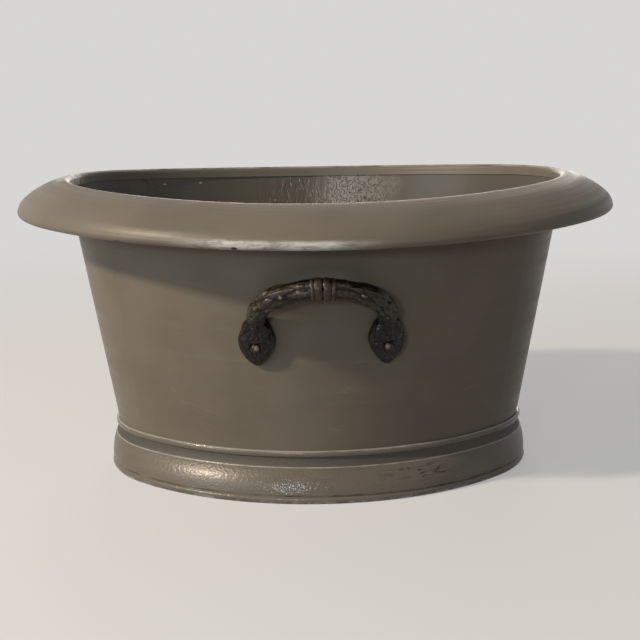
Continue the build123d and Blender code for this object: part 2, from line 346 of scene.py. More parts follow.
paint = {
    "tone": (0.152, 0.131, 0.101, 1.0),
    "deepTone": (0.130, 0.111, 0.085, 1.0),
    "greyTone": (0.152, 0.142, 0.119, 1.0),
    # painted shade: the darker tone of the pot's inside
    "insideShadeTone": (0.094, 0.085, 0.066, 1.0),
    # chalky wear, and also the tone of painted highlights, a painted reflection and a painted
    # lightening of a groove
    "chalkAndLightTone": (0.50, 0.495, 0.465, 1.0),
    "chipTone": (0.030, 0.026, 0.021, 1.0),
    "primerTone": (0.42, 0.41, 0.38, 1.0),
    "limeTone": (0.78, 0.77, 0.74, 1.0),
    "gloss": 0.38,                # roughness of the coat
    "glossSpread": (-0.06, 0.10),
    "insideGloss": 0.20,
    "dullGloss": 0.62,            # where it is chalky or dirty
    "streakLength": 8.0,
    "streakFine": 800.0,
    "streakBroad": 0.22,          # scale of the broad streaks against the fine ones
    "greyBand": (0.5, 0.8),
    "greyShare": 0.45,
    "glossBand": (0.25, 0.8),
    "cloudScale": 14.0,
    "cloudBand": (0.38, 0.66),
    "peelScale": 380.0,
    "relief": (0.5, 0.9, 0.3),    # of the fine streaks, the broad ones and the peel
}


def brushedPaint(graph, offset, level):
    # tone, roughness and height of the brushed coat
    look = paint
    length = look["streakLength"]
    width = look["streakFine"]
    place = graph.vector(
        graph.product(graph.x, length),
        graph.maths("MULTIPLY_ADD", graph.y, length, graph.product(offset, width)),
        graph.product(level, width),
    )
    fine = graph.noise(place, 1.0, 3.0, 0.6)
    coarse = graph.noise(place, look["streakBroad"], 3.0, 0.55)
    cloud = graph.noise(graph.place, look["cloudScale"], 3.0, 0.6)
    tone = graph.mix(graph.ramp(cloud, *look["cloudBand"]), look["tone"], look["deepTone"])
    grey = graph.ramp(coarse, *look["greyBand"], 0.0, look["greyShare"])
    tone = graph.mix(grey, tone, look["greyTone"])
    peel = graph.noise(graph.place, look["peelScale"], 2.0, 0.5)
    fineRelief, broadRelief, peelRelief = look["relief"]
    height = graph.maths("MULTIPLY_ADD", fine, fineRelief, graph.product(coarse, broadRelief))
    height = graph.maths("MULTIPLY_ADD", peel, peelRelief, height)
    satin, dull = (look["gloss"] + change for change in look["glossSpread"])
    gloss = graph.ramp(coarse, *look["glossBand"], satin, dull)
    return tone, gloss, height


scratchLook = {
    "count": 2,
    "turn": -0.3,                 # of the first one about Y, in radians
    "turnStep": 0.35,
    "stretch": (0.06, 0.06, 1.0),
    "scale": 120.0,
    "scaleStep": 0.3,
    "width": 0.006,
    "gateScale": 22.0,
    "gateStep": 9.0,
    "gateBand": (0.60, 0.68),
    "share": 0.10,
}


def scratches(graph):
    # sparse fine scratches, mostly along the length
    look = scratchLook
    drawn = []
    for number in range(look["count"]):
        given = {"Vector": graph.place, "Angle": look["turnStep"] * number + look["turn"]}
        turned = graph.add("ShaderNodeVectorRotate", given, rotation_type="Y_AXIS").outputs[0]
        scale = look["scale"] * (1.0 + look["scaleStep"] * number)
        line = graph.ridges(graph.stretch(look["stretch"], turned), scale, look["width"])
        gate = look["gateScale"] + look["gateStep"] * number
        drawn.append(graph.product(line, graph.grain(gate, *look["gateBand"], 2.0)))
    return graph.product(graph.most(drawn), look["share"])


wallMarks = {
    "halfSheet": 0.45 * mm,
    "nick": (-0.1003, -0.125, 0.1680),
    "nickReach": (0.0011, 0.030, 0.0022),
    "nickRagged": (0.5, 900.0),   # how ragged an edge is, and how fine
    "specks": ((-0.052, -0.14, 0.112), (0.033, -0.14, 0.148), (-0.081, -0.13, 0.071)),
    "speckReach": (0.0008, 0.030, 0.0008),
    # inside, where the thick coat has wrinkled and a painted reflection lightens it: place, reach,
    # how ragged and how fine
    "wrinkleZone": ((0.036, 0.135, 0.176), (0.044, 0.060, 0.034), 1.0, 40.0),
    "wavyZone": ((-0.016, 0.135, 0.176), (0.040, 0.060, 0.030), 0.7, 60.0),
    "smearZone": ((-0.164, 0.004, 0.189), (0.011, 0.024, 0.009), 0.8, 90.0),
    "stray": (18.0, 0.56, 0.70, 2.0),       # scale, band and detail of a grain
    "strayShare": 0.35,
    "wrinkles": (165.0, 0.030, 1.5),        # scale, width and winding of the lines
    "waves": (190.0, 0.16, 0.6),
    "waveStretch": (1.0, 1.0, 0.35),
    "waveDepth": 0.65,
    "swellScale": 150.0,
    "swellDepth": 1.4,
    "furrowDepth": 0.28 * mm,
    # how much the painted reflection lightens the wrinkled zone
    "wrinkleReflection": 0.16,
    "furrowShade": 0.75,
    "wrinkleGloss": 0.27,
    "glossShare": 0.85,
    "lime": (240.0, 0.42, 0.6),
    "chips": ((-0.115, 0.10, 0.190), (-0.088, 0.12, 0.189)),
    "chipReach": (0.0022, 0.030, 0.0012),
    "chipRagged": (0.6, 700.0),
    "chipDepth": 0.5 * mm,
    "brushDepth": 0.10 * mm,
    "ior": 1.31,
}


def wallPaint():
    graph = Graph("paintedWall")
    marks = wallMarks
    offset = offsetOf(graph)
    level = graph.maths("SUBTRACT", graph.z, liftOf(graph))
    tone, gloss, height = brushedPaint(graph, offset, level)
    start = -oval["wallInset"] - marks["halfSheet"]
    middle = graph.maths("MULTIPLY_ADD", graph.z, math.tan(oval["flare"]), start)
    inside = graph.maths("GREATER_THAN", graph.maths("SUBTRACT", middle, offset), 0.0)
    outside = graph.inverse(inside)

    nick = graph.patch(marks["nick"], marks["nickReach"], *marks["nickRagged"])
    specks = graph.patches(marks["specks"], marks["speckReach"])
    nicks = graph.product(graph.most([nick, specks]), outside)
    tone = graph.mix(graph.product(scratches(graph), outside), tone, paint["chalkAndLightTone"])
    tone = graph.mix(nicks, tone, paint["chipTone"])

    # a thicker, glossier coat inside that has shrunk into furrows near the mouth, with the inside
    # darkened as painted shade
    stray = graph.product(graph.grain(*marks["stray"]), marks["strayShare"])
    zone = graph.patch(*marks["wrinkleZone"])
    wavy = graph.patch(*marks["wavyZone"])
    smear = graph.product(graph.patch(*marks["smearZone"]), inside)
    wrinkles = graph.ridges(graph.place, *marks["wrinkles"])
    waves = graph.ridges(graph.stretch(marks["waveStretch"]), *marks["waves"])
    crinkle = graph.most([
        graph.product(wrinkles, graph.most([zone, stray, smear])),
        graph.product(waves, wavy, marks["waveDepth"]),
    ])
    crinkle = graph.product(crinkle, inside)
    swell = graph.noise(graph.place, marks["swellScale"], 2.0)
    swell = graph.product(swell, graph.most([zone, wavy, smear]), inside)
    chips = graph.patches(marks["chips"], marks["chipReach"], *marks["chipRagged"])
    chips = graph.product(chips, inside)
    # painted shade: the inside, away from the wrinkled zone, is darkened toward the inside's shade
    # tone
    smooth = graph.product(inside, graph.inverse(zone))
    tone = graph.mix(smooth, tone, paint["insideShadeTone"])
    # painted reflection: the wrinkled zone is left out of the inside's shade and lightened toward
    # the chalk tone, for its silvery gloss
    tone = graph.mix(graph.product(zone, inside, marks["wrinkleReflection"]), tone, paint["chalkAndLightTone"])
    # painted shade: the furrows of the wrinkled zone are darkened
    tone = graph.mix(graph.product(crinkle, zone, marks["furrowShade"]), tone, paint["chipTone"])
    lime = graph.product(smear, graph.grain(*marks["lime"]))
    tone = graph.mix(lime, tone, paint["limeTone"])
    tone = graph.mix(chips, tone, paint["primerTone"])
    gloss = graph.blend(graph.product(inside, marks["glossShare"]), gloss, paint["insideGloss"])
    gloss = graph.blend(graph.product(zone, inside), gloss, marks["wrinkleGloss"])

    normal = graph.bump(height, marks["brushDepth"])
    furrows = graph.product(crinkle, -1.0)
    furrows = graph.maths("MULTIPLY_ADD", swell, marks["swellDepth"], furrows)
    normal = graph.bump(furrows, marks["furrowDepth"], 1.0, normal)
    normal = graph.bump(graph.maths("MAXIMUM", nicks, chips), marks["chipDepth"], 1.0, normal)
    return graph.finish(tone, gloss, normal, IOR=marks["ior"])


rimMarks = {
    "front": (-0.02, -0.06),      # the front of the pot begins between these depths
    "worn": (181.8 * mm, 179.0 * mm),       # chalky wear grows from one level to the next
    "wornEnds": (-0.068, 0.012),
    "wornFade": 0.03,
    "wornShares": (0.40, 0.75),   # between the ends, and in the spots
    "wornSpots": ((-0.048, -0.16, 0.181), (-0.008, -0.16, 0.180)),
    "spotReach": (0.026, 0.060, 0.008),
    "spotRagged": (0.5, 70.0),
    "scuffStretch": (0.25, 0.25, 1.0),
    "scuffScale": 520.0,
    "scuffBand": (0.30, 0.62, 0.25, 1.0),
    "chips": ((-0.0515, -0.16, 0.1764), (-0.1230, -0.13, 0.1775)),
    "chipReach": (0.0026, 0.030, 0.0010),
    "chipRagged": (0.6, 800.0),
    "crestShift": -1.6 * mm,
    "crestWidth": (1.3 * mm, 0.2 * mm),
    "crestFrom": (0.195, 0.197),
    "rub": (45.0, 0.36, 0.56),
    "rubAndSheenShare": 0.45,
    "smear": ((-0.171, 0.002, 0.201), (0.012, 0.034, 0.015), 0.9, 110.0),
    "lime": (300.0, 0.36, 0.56),
    "limeShare": 0.9,
    "wrinkles": (420.0, 0.07, 1.0),         # scale, width and winding of the lines
    "furrowShade": 0.6,
    "brushDepth": 0.32 * mm,
    "wearDepth": 0.25 * mm,
    "chipDepth": -2.0,            # against the wear's own depth
    "ior": 1.33,
}


def rimPaint():
    graph = Graph("paintedRim")
    marks = rimMarks
    offset = offsetOf(graph)
    lift = liftOf(graph)
    level = graph.maths("SUBTRACT", graph.z, lift)
    tone, gloss, height = brushedPaint(graph, offset, level)

    # wear along the lower edge, on the left of the front
    front = graph.ramp(graph.y, *marks["front"])
    scuff = graph.noise(graph.stretch(marks["scuffStretch"]), marks["scuffScale"], 5.0, 0.65)
    low = graph.ramp(level, *marks["worn"])
    ends = graph.between(graph.x, *marks["wornEnds"], marks["wornFade"])
    spots = graph.patches(marks["wornSpots"], marks["spotReach"], *marks["spotRagged"])
    endShare, spotShare = marks["wornShares"]
    spots = graph.product(spots, spotShare)
    worn = graph.product(low, front, graph.maths("MULTIPLY_ADD", ends, endShare, spots))
    worn = graph.product(worn, graph.ramp(scuff, *marks["scuffBand"]))
    tone = graph.mix(worn, tone, paint["chalkAndLightTone"])
    chips = graph.patches(marks["chips"], marks["chipReach"], *marks["chipRagged"])
    tone = graph.mix(chips, tone, paint["chipTone"])

    # the crest is rubbed and carries a painted highlight, and the paint wrinkles at the left end
    # of the mouth
    start = oval["crestOffset"] + marks["crestShift"]
    crest = graph.maths("MULTIPLY_ADD", lift, math.tan(oval["flare"]), start)
    crest = graph.maths("ABSOLUTE", graph.maths("SUBTRACT", offset, crest))
    # a lighter line along the crest: partly rubbed paint, partly a painted highlight on its tight
    # round
    rubAndSheen = graph.product(
        graph.ramp(crest, *marks["crestWidth"]),
        graph.ramp(level, *marks["crestFrom"]),
        graph.grain(*marks["rub"]),
    )
    tone = graph.mix(graph.product(rubAndSheen, marks["rubAndSheenShare"]), tone, paint["chalkAndLightTone"])
    smear = graph.patch(*marks["smear"])
    crinkle = graph.product(graph.ridges(graph.place, *marks["wrinkles"]), smear)
    lime = graph.product(smear, graph.grain(*marks["lime"]), marks["limeShare"])
    tone = graph.mix(lime, tone, paint["limeTone"])
    # painted shade: the furrows of the smear's wrinkles are darkened
    tone = graph.mix(graph.product(crinkle, marks["furrowShade"]), tone, paint["chipTone"])
    gloss = graph.blend(worn, gloss, paint["dullGloss"])

    normal = graph.bump(height, marks["brushDepth"])
    wear = graph.maths("MULTIPLY_ADD", scuff, worn, graph.product(chips, marks["chipDepth"]))
    normal = graph.bump(wear, marks["wearDepth"], 1.0, normal)
    return graph.finish(tone, gloss, normal, IOR=marks["ior"])


footMarks = {
    # near-black tone for the foot's painted shade, over the whole band and deeper in its cove
    "tone": (0.046, 0.043, 0.036, 1.0),
    "shadeShare": 0.20,
    "beadTop": 34.0 * mm,
    "beadGloss": 0.20,
    "beadFrom": (29.6 * mm, 30.8 * mm),
    "edgeRagged": 1.4 * mm,
    "edgeScale": 90.0,
    "edgeFade": 0.5 * mm,
    "edgeShare": 0.35,
    "crackZones": ((0.062, -0.105, 0.017), (-0.045, 0.105, 0.016)),
    "crackReach": (0.030, 0.060, 0.008),
    "crackRagged": (0.6, 60.0),
    "crackStretch": (0.10, 0.10, 1.0),
    "cracks": (360.0, 0.022),     # scale and width of the lines
    "crackGate": (70.0, 0.46, 0.56),
    "crackShare": 0.75,
    "scuffScale": 60.0,
    "lip": 24.1 * mm,
    "lipFade": 0.6 * mm,
    "lipBand": (0.30, 0.52),
    "lipShares": (0.30, 0.85),
    "roll": (3.0 * mm, 1.0 * mm),
    "rollWear": (120.0, 0.45, 0.62, 4.0, 0.65),
    "rubAndSheenShare": 0.55,
    "hollow": (25.0 * mm, 29.8 * mm),
    "hollowFade": 0.8 * mm,
    "hollowShadeShare": 0.8,
    "skirt": 5.6 * mm,
    "skirtFade": 1.0 * mm,
    "skirtBand": (0.40, 0.60),
    "grooveLightShare": 0.4,
    "glossChange": 0.07,
    "belly": (4.0 * mm, 24.0 * mm),
    "bellySlope": (0.14, 0.36),   # how far the belly leans in at its foot, and how much more above
    "lumpStretch": (0.7, 0.7, 1.0),
    "lumpScale": 620.0,
    "lumpDepth": 0.30 * mm,
    "crinkleZone": ((-0.020, -0.105, 0.012), (0.036, 0.060, 0.010), 0.6, 60.0),
    "crinkleLumps": (0.5, 0.8),   # more in the zone, and everywhere
    "crinkleGloss": 0.17,
    "brushRelief": 0.25,
    "crackDepth": 0.35 * mm,
    "edgeRelief": 0.5,
    "ior": 1.42,
}


def footPaint():
    graph = Graph("paintedFoot")
    marks = footMarks
    tone, gloss, height = brushedPaint(graph, offsetOf(graph), graph.z)
    # painted shade: the whole foot is darkened toward the near-black tone
    tone = graph.mix(marks["shadeShare"], tone, marks["tone"])

    # thick paint with long cracks along the band, rubbed on its ridges, with a painted highlight
    # along the lip
    cracks = graph.product(
        graph.ridges(graph.stretch(marks["crackStretch"]), *marks["cracks"]),
        graph.grain(*marks["crackGate"]),
        graph.patches(marks["crackZones"], marks["crackReach"], *marks["crackRagged"]),
    )
    deep = marks["edgeRagged"]
    ragged = graph.noise(graph.place, marks["edgeScale"], 3.0)
    ragged = graph.maths("MULTIPLY_ADD", ragged, deep, marks["beadTop"] - deep / 2)
    edge = graph.ramp(graph.maths("SUBTRACT", graph.z, ragged), 0.0, marks["edgeFade"])
    scuffs = graph.noise(graph.place, marks["scuffScale"], 3.0)
    lip = graph.between(graph.z, marks["lip"], marks["lip"], marks["lipFade"])
    lip = graph.product(lip, graph.ramp(scuffs, *marks["lipBand"], *marks["lipShares"]))
    roll = graph.product(graph.ramp(graph.z, *marks["roll"]), graph.grain(*marks["rollWear"]))
    # the lip's light line is partly rubbed paint and partly a painted highlight; the bottom roll
    # is rubbed
    rubAndSheen = graph.product(graph.most([lip, roll]), marks["rubAndSheenShare"])
    tone = graph.mix(rubAndSheen, tone, paint["chalkAndLightTone"])
    # painted shade: the cove under the bead is darkened toward the near-black tone
    hollow = graph.between(graph.z, *marks["hollow"], marks["hollowFade"])
    tone = graph.mix(graph.product(hollow, marks["hollowShadeShare"]), tone, marks["tone"])
    # painted light: the groove above the bottom roll is lightened toward the chalk tone, so that
    # its shade hardly shows
    skirt = graph.between(graph.z, marks["skirt"], marks["skirt"], marks["skirtFade"])
    skirt = graph.product(skirt, graph.ramp(scuffs, *marks["skirtBand"]), marks["grooveLightShare"])
    tone = graph.mix(skirt, tone, paint["chalkAndLightTone"])
    tone = graph.mix(graph.product(edge, marks["edgeShare"]), tone, paint["chalkAndLightTone"])
    tone = graph.mix(graph.product(cracks, marks["crackShare"]), tone, paint["chipTone"])
    gloss = graph.maths("SUBTRACT", gloss, marks["glossChange"])
    gloss = graph.blend(graph.ramp(graph.z, *marks["beadFrom"]), gloss, marks["beadGloss"])
    gloss = graph.blend(hollow, gloss, paint["dullGloss"])

    # the belly's lean, its lumpy coat, and the cracks
    low, high = marks["belly"]
    rise = graph.add("ShaderNodeMapRange", {"Value": graph.z, "From Min": low, "From Max": high})
    rise = rise.outputs["Result"]
    start, more = marks["bellySlope"]
    lean = graph.product(rise, graph.maths("MULTIPLY_ADD", rise, more / 2, start), -1.0)
    normal = graph.bump(lean, high - low)
    lumps = graph.noise(graph.stretch(marks["lumpStretch"]), marks["lumpScale"], 2.0, 0.5)
    coarse = graph.patch(*marks["crinkleZone"])
    lumps = graph.product(lumps, graph.maths("MULTIPLY_ADD", coarse, *marks["crinkleLumps"]))
    gloss = graph.blend(coarse, gloss, marks["crinkleGloss"])
    lumps = graph.maths("MULTIPLY_ADD", height, marks["brushRelief"], lumps)
    normal = graph.bump(lumps, marks["lumpDepth"], 1.0, normal)
    broken = graph.product(edge, marks["edgeRelief"])
    broken = graph.maths("MULTIPLY_ADD", cracks, -1.0, broken)
    normal = graph.bump(broken, marks["crackDepth"], 1.0, normal)
    return graph.finish(tone, gloss, normal, IOR=marks["ior"])


floorLook = {
    "tone": (0.150, 0.126, 0.096, 1.0),
    "dustTone": (0.235, 0.215, 0.180, 1.0),
    "rustTone": (0.130, 0.060, 0.028, 1.0),
    "dustScale": 20.0,
    "dustBand": (0.42, 0.62),
    "underside": (19.6 * mm, 19.2 * mm),
    "rust": (85.0, 0.60, 0.68, 4.0, 0.7),
    "rustShares": (0.6, 0.25),    # more below, and everywhere
    "gloss": (0.42, 0.68),
    "glossBand": (0.4, 0.65),
    "grainScale": 260.0,
    "grainRelief": 0.4,
    "depth": 0.2 * mm,
    "ior": 1.38,
}


def floorPaint():
    # inner floor, with dust and a few water stains, and rust spots beneath
    graph = Graph("paintedFloor")
    look = floorLook
    cloud = graph.noise(graph.place, look["dustScale"], 4.0, 0.6)
    tone = graph.mix(graph.ramp(cloud, *look["dustBand"]), look["tone"], look["dustTone"])
    under = graph.ramp(graph.z, *look["underside"])
    rust = graph.maths("MULTIPLY_ADD", under, *look["rustShares"])
    rust = graph.product(graph.grain(*look["rust"]), rust)
    tone = graph.mix(rust, tone, look["rustTone"])
    rough = graph.ramp(cloud, *look["glossBand"], *look["gloss"])
    grain = graph.noise(graph.place, look["grainScale"], 3.0)
    height = graph.maths("ADD", cloud, graph.product(grain, look["grainRelief"]))
    return graph.finish(tone, rough, graph.bump(height, look["depth"]), IOR=look["ior"])


wireLook = {
    "tone": (0.090, 0.074, 0.056, 1.0),
    "rustTone": (0.120, 0.058, 0.030, 1.0),
    "flakeScale": 240.0,
    "rustBand": (0.46, 0.62),
    "gloss": (0.45, 0.75),
    "glossBand": (0.4, 0.65),
    "depth": 0.15 * mm,
    "metal": 0.25,
}


def wireFinish():
    graph = Graph("edgeWire")
    look = wireLook
    flake = graph.noise(graph.place, look["flakeScale"], 4.0, 0.65)
    tone = graph.mix(graph.ramp(flake, *look["rustBand"]), look["tone"], look["rustTone"])
    rough = graph.ramp(flake, *look["glossBand"], *look["gloss"])
    return graph.finish(tone, rough, graph.bump(flake, look["depth"]), Metallic=look["metal"])


dress(wallPaint(), "wall_front", "wall_rear")
dress(rimPaint(), "rim_front", "rim_rear")
dress(footPaint(), "foot_moulding")
dress(floorPaint(), "base_plate")
dress(wireFinish(), "rim_wire_front", "rim_wire_rear", "foot_wire")
print("paint ready")


# Handles: a cast bundle of reeds, banded in the middle and sheathed in leaves

handle = {
    "height": 110.5 * mm,
    "shoulder": 25.0 * mm,
    "crown": 56.0 * mm,
    "arcTurn": math.radians(60.0),
    "lean": math.radians(45.0),
    "guideSteps": 48,
    "neckLength": 12.0 * mm,
    "neckRise": 10.0 * mm,
    "neckDepth": 2.5 * mm,
    "rivetDrop": 2.5 * mm,
    "splay": math.radians(4.5),
    "leafDepth": 7.5 * mm,
    "leafDome": 24.0 * mm,
    "grain": 0.42 * mm,           # size of the cells that fuse the casting
    "castRoughness": 0.22 * mm,
    # petals along the arch, in mm: distance of the root and the tip from the arch's middle,
    # turn about it in degrees, half width, half depth, and how far out the middle lies
    "sheaths": (
        (39.0, 14.6, 18.0, 3.3, 2.0, 5.2),
        (38.0, 19.5, 76.0, 3.1, 1.8, 5.1),
        (39.0, 16.5, 134.0, 3.1, 1.8, 5.1),
        (38.0, 18.0, 196.0, 3.1, 1.8, 5.1),
        (39.0, 16.0, 254.0, 3.1, 1.8, 5.1),
        (38.0, 18.5, 318.0, 3.1, 1.8, 5.1),
        (40.5, 28.0, 48.0, 2.6, 1.5, 6.0),
        (40.0, 29.5, 104.0, 2.6, 1.4, 5.9),
        (40.5, 28.5, 168.0, 2.6, 1.4, 5.9),
        (40.0, 29.0, 226.0, 2.6, 1.4, 5.9),
        (40.5, 28.5, 288.0, 2.6, 1.4, 5.9),
        (40.0, 29.5, 350.0, 2.6, 1.4, 5.9),
    ),
    "neckPetals": 8,
    "neckPetal": (40.0, 50.0, 2.3, 1.3, 5.4),       # root, tip, half width, half depth, out
    "neckTurn": 22.0,
    # rings round each neck, in mm: distance and radius
    "neckRings": ((50.6, 5.7), (52.8, 5.65), (55.0, 5.6), (57.2, 5.4)),
    "ringWidth": 0.75 * mm,
    "ringSides": (40, 12),        # round it, and round its section
    # bands round the middle, in mm: distance, radius at the crest and half width
    "bands": ((2.4, 7.4, 2.0), (5.9, 7.05, 1.15)),
    "bandDepth": 0.9 * mm,
    "bandSides": (48, 16),
    # the swelling at a leaf's top, in mm: its middle and half size
    "bud": ((0.0, 8.5, 3.5), (10.0, 9.5, 6.8)),
    "budBack": -0.42,             # where its back is cut, as a share of its half size
    "budSides": (48, 32),
    # knots on the arch, in mm: distance, turn in degrees, half size and how far out
    "knots": (
        (41.2, 42.0, 1.7, 6.0),
        (10.2, 62.0, 1.3, 5.6),
        (11.5, 8.0, 1.2, 5.8),
        (24.0, 48.0, 1.3, 6.6),
    ),
    "knotLength": 1.4,
    # petals on a leaf, in mm: root, tip, half width, height above the dome
    "lobes": (
        ((0.0, 15.2), (0.0, 6.0), 2.2, 0.7),
        ((0.0, -6.8), (0.0, -14.6), 2.0, 0.5),
        ((3.2, 15.4), (8.2, 6.4), 2.6, 0.8),
        ((3.2, 8.6), (9.8, 1.6), 2.3, 0.5),
        ((4.2, 2.6), (10.0, -3.6), 2.3, 0.45),
        ((3.8, -4.2), (6.6, -10.4), 2.0, 0.4),
    ),
    "lobeSink": 0.4,              # how deep a lobe sits in the dome, in mm
    # beads on each half of a leaf, in mm: across, up and half size
    "beads": (
        (1.6, 5.4, 1.1),
        (4.6, 3.6, 0.8),
        (7.4, 0.2, 0.7),
        (5.8, 10.6, 0.8),
        (6.6, -6.0, 0.6),
    ),
    # how a petal narrows towards its tip: from this share of its length, by this factor
    "petalTaper": ((0.2, 0.93), (0.45, 0.88), (0.65, 0.82), (0.8, 0.75)),
    "petalSides": (24, 16),
    "keelWidth": 0.12,
    "keelHeight": 0.14,
    "pitSize": 1.6 * mm,
    "pitDetail": 2,
    "wearReach": 0.25 * mm,
    "wearPasses": 10,
}


def frameAt(place, along, straight):
    turned = Matrix((along, straight.cross(along), straight)).transposed().to_4x4()
    return Matrix.Translation(place) @ turned


def wallFrame(x, height):
    # on the front wall's outer face: x along it, y up it and z straight out of it
    radius = sideRadius + height * math.tan(oval["flare"]) - oval["wallInset"]
    angle = math.radians(270.0) + math.asin(x / radius)
    out = Vector((math.cos(angle), math.sin(angle), 0.0))
    place = Vector((0.0, endCentre, height)) + out * radius
    up = Vector((0.0, 0.0, 1.0))
    straight = out * math.cos(oval["flare"]) - up * math.sin(oval["flare"])
    return frameAt(place, up.cross(out), straight)


shoulderReach = (handle["crown"] - handle["shoulder"]) * math.sin(handle["arcTurn"] / 2)
archHalf = handle["shoulder"] + shoulderReach
arcSum = handle["arcTurn"] * (2 * handle["shoulder"] + handle["crown"])
archLength = 2 * handle["neckLength"] + arcSum


def archFrame():
    neck = Vector((0.0, handle["neckRise"], handle["neckDepth"]))
    root = wallFrame(archHalf, handle["height"]) @ neck
    lean = handle["lean"]
    out = Vector((0.0, -math.cos(lean), -math.sin(lean)))
    return frameAt(Vector((0.0, root.y, root.z)), Vector((1.0, 0.0, 0.0)), out)


def leafFrame(side):
    # the leaf turns about its rivet
    drop = Vector((0.0, handle["rivetDrop"], 0.0))
    rivet = wallFrame(side * archHalf, handle["height"]) @ Matrix.Translation(-drop)
    turned = rivet @ Matrix.Rotation(side * handle["splay"], 4, "Z")
    return turned @ Matrix.Translation(drop)


def only(*objects):
    deselect()
    for each in objects:
        each.select_set(True)
    bpy.context.view_layer.objects.active = objects[0]


def applied(piece, kind, **settings):
    only(piece)
    modifier = piece.modifiers.new(kind.lower(), kind)
    for key, value in settings.items():
        setattr(modifier, key, value)
    bpy.ops.object.modifier_apply(modifier=modifier.name)


def joined(objects, name):
    only(*objects)
    bpy.ops.object.join()
    made = bpy.context.object
    made.name = name
    made.data.name = name
    return made


def placedCopy(piece, place):
    made = bpy.data.objects.new(piece.name, piece.data.copy())
    bpy.context.scene.collection.objects.link(made)
    made.data.transform(place)
    return made


def pick(piece, test):
    # in edit mode, select the points that pass the test
    mesh = bmesh.from_edit_mesh(piece.data)
    for point in mesh.verts:
        point.select_set(test(point.co))
    mesh.select_flush_mode()
    bmesh.update_edit_mesh(piece.data)


def makeBall(name, sides):
    deselect()
    bpy.ops.mesh.primitive_uv_sphere_add(segments=sides[0], ring_count=sides[1], radius=1.0)
    ball = bpy.context.object
    ball.name = name
    return ball


def makePetal():
    # pointed petal of half length, half width and half depth 1, tip along +X, with a keel
    petal = makeBall("petal", handle["petalSides"])
    petal.data.transform(Matrix.Rotation(math.radians(90.0), 4, "Y"))
    bpy.ops.object.mode_set(mode="EDIT")
    for start, narrow in handle["petalTaper"]:
        pick(petal, lambda point: point.x > start)
        bpy.ops.transform.resize(value=(1.0, narrow, 1.0), center_override=(0.0, 0.0, 0.0))
    pick(petal, lambda point: abs(point.y) < handle["keelWidth"] and point.z > 0.0)
    bpy.ops.transform.translate(value=(0.0, 0.0, handle["keelHeight"]))
    bpy.ops.object.mode_set(mode="OBJECT")
    return petal


def alongArch(distance, turn, out):
    # place in the straight bundle: X runs along it and Z points outwards here
    middle = Matrix.Translation((archLength / 2 + distance * mm, 0.0, 0.0))
    turned = Matrix.Rotation(math.radians(turn - 90.0), 4, "X")
    return middle @ turned @ Matrix.Translation((0.0, 0.0, out * mm))


def scaleOf(x, y, z):
    return Matrix.Diagonal((x, y, z, 1.0))


def roundBundle(side, distance):
    # place of a ring round the bundle
    return alongArch(side * distance, 90.0, 0.0) @ Matrix.Rotation(math.radians(90.0), 4, "Y")


def makeRing(radius, width, sides):
    deselect()
    bpy.ops.mesh.primitive_torus_add(
        major_segments=sides[0], minor_segments=sides[1], major_radius=radius, minor_radius=width
    )
    return bpy.context.object


def bundleOrnament(petal):
    pieces = []
    for side in (-1, 1):
        flip = Matrix.Rotation(math.radians(90.0 + 90.0 * side), 4, "Z")
        petals = list(handle["sheaths"])
        root, tip, width, depth, out = handle["neckPetal"]
        for number in range(handle["neckPetals"]):
            turn = 360.0 / handle["neckPetals"] * number + handle["neckTurn"]
            petals.append((root, tip, turn, width, depth, out))
        for root, tip, turn, width, depth, out in petals:
            size = scaleOf((root - tip) / 2 * mm, width * mm, depth * mm)
            place = alongArch(side * (root + tip) / 2, turn, out) @ flip
            pieces.append(placedCopy(petal, place @ size))
        for distance, radius in handle["neckRings"]:
            ring = makeRing(radius * mm, handle["ringWidth"], handle["ringSides"])
            ring.data.transform(roundBundle(side, distance))
            pieces.append(ring)
        for distance, radius, width in handle["bands"]:
            depth = handle["bandDepth"]
            band = makeRing(radius * mm - depth, depth, handle["bandSides"])
            wide = scaleOf(1.0, 1.0, width * mm / depth)
            band.data.transform(roundBundle(side, distance) @ wide)
            pieces.append(band)
        for distance, turn, size, out in handle["knots"]:
            shape = scaleOf(handle["knotLength"] * size * mm, size * mm, size * mm)
            place = alongArch(side * distance, turn, out)
            pieces.append(placedCopy(petal, place @ shape))
    return joined(pieces, "bundleOrnament")


def archGuide():
    # the arch's middle line, drawn flat, to bend the bundle's ornament round
    neck = handle["neckLength"]
    turn = handle["arcTurn"]
    reach = 4.0 / 3.0 * math.tan(turn / 4.0)
    place = Vector((-archHalf, 0.0, 0.0))
    heading = math.radians(90.0)
    steps = [(place.copy(), heading, neck / 3, neck / 3)]
    place = place + Vector((0.0, neck, 0.0))
    before = neck / 3
    for radius in (handle["shoulder"], handle["crown"], handle["shoulder"]):
        steps.append((place.copy(), heading, before, reach * radius))
        centre = place + Vector((math.sin(heading), -math.cos(heading), 0.0)) * radius
        heading = heading - turn
        place = centre - Vector((math.sin(heading), -math.cos(heading), 0.0)) * radius
        before = reach * radius
    steps.append((place.copy(), heading, before, neck / 3))
    place = place + Vector((math.cos(heading), math.sin(heading), 0.0)) * neck
    steps.append((place.copy(), heading, neck / 3, neck / 3))

    data = bpy.data.curves.new("archGuide", "CURVE")
    data.dimensions = "2D"
    data.resolution_u = handle["guideSteps"]
    spline = data.splines.new("BEZIER")
    spline.bezier_points.add(len(steps) - 1)
    for point, (place, heading, before, after) in zip(spline.bezier_points, steps):
        forward = Vector((math.cos(heading), math.sin(heading), 0.0))
        point.handle_left_type = point.handle_right_type = "FREE"
        point.co = place
        point.handle_left = place - forward * before
        point.handle_right = place + forward * after
    guide = bpy.data.objects.new("archGuide", data)
    bpy.context.scene.collection.objects.link(guide)
    return guide


